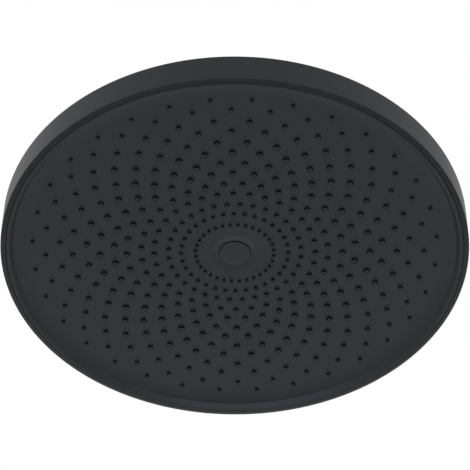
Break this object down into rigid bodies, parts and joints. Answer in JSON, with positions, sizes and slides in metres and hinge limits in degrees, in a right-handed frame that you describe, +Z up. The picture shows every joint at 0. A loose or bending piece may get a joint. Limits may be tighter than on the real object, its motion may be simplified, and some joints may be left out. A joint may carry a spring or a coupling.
{
  "type": "rain shower head",
  "caption": "Round matte black rain shower head with staggered rings of spray nozzles, hung from a ball joint with a half-inch threaded inlet.",
  "frame": {"origin": "middle of the threaded inlet's mouth, on the ball stem's centre line", "axes": "+Z up along the inlet, away from the spray face, which points down; +X to the right of a viewer who looks along +Y"},
  "size_m": [0.26, 0.26, 0.0772],
  "materials": {
    "black_plastic": "fine satin moulded surface",
    "black_face": "fine satin moulded surface with soft nozzles",
    "black_brass": "matte black coat on brass",
    "seal_rubber": "matte",
    "steel_wire": "woven wire",
    "steel": "plain stainless",
    "white_plastic": "natural acetal",
    "grey_plastic": "plain moulded"
  },
  "bodies": {
    "stem": {"ball_connector": "black_brass", "inlet_washer": "seal_rubber", "inlet_filter": "steel_wire", "flow_regulator": "white_plastic", "regulator_ring": "seal_rubber"},
    "slip": {"slip_ring": "white_plastic"},
    "seat": {"ball_seal": "seal_rubber"},
    "head": {"collar_nut": "black_brass", "spigot": "black_brass", "spigot_seal": "seal_rubber", "rear_shell": "black_plastic", "chamber_plate": "grey_plastic", "chamber_gasket": "seal_rubber", "chamber_screws": "steel", "spray_plate": "black_face", "centre_screw": "steel", "centre_seal": "seal_rubber", "centre_cap": "black_face"}
  },
  "joints": [
    {"name": "front_tilt", "type": "hinge", "parent": "stem", "child": "slip", "pos_m": [0, 0, -0.03317], "axis": [1, 0, 0], "range_deg": [-15, 15]},
    {"name": "side_tilt", "type": "hinge", "parent": "slip", "child": "seat", "pos_m": [0, 0, -0.03317], "axis": [0, 1, 0], "range_deg": [-15, 15]},
    {"name": "swivel", "type": "hinge", "parent": "seat", "child": "head", "pos_m": [0, 0, -0.03317], "axis": [0, 0, 1], "continuous": true}
  ]
}
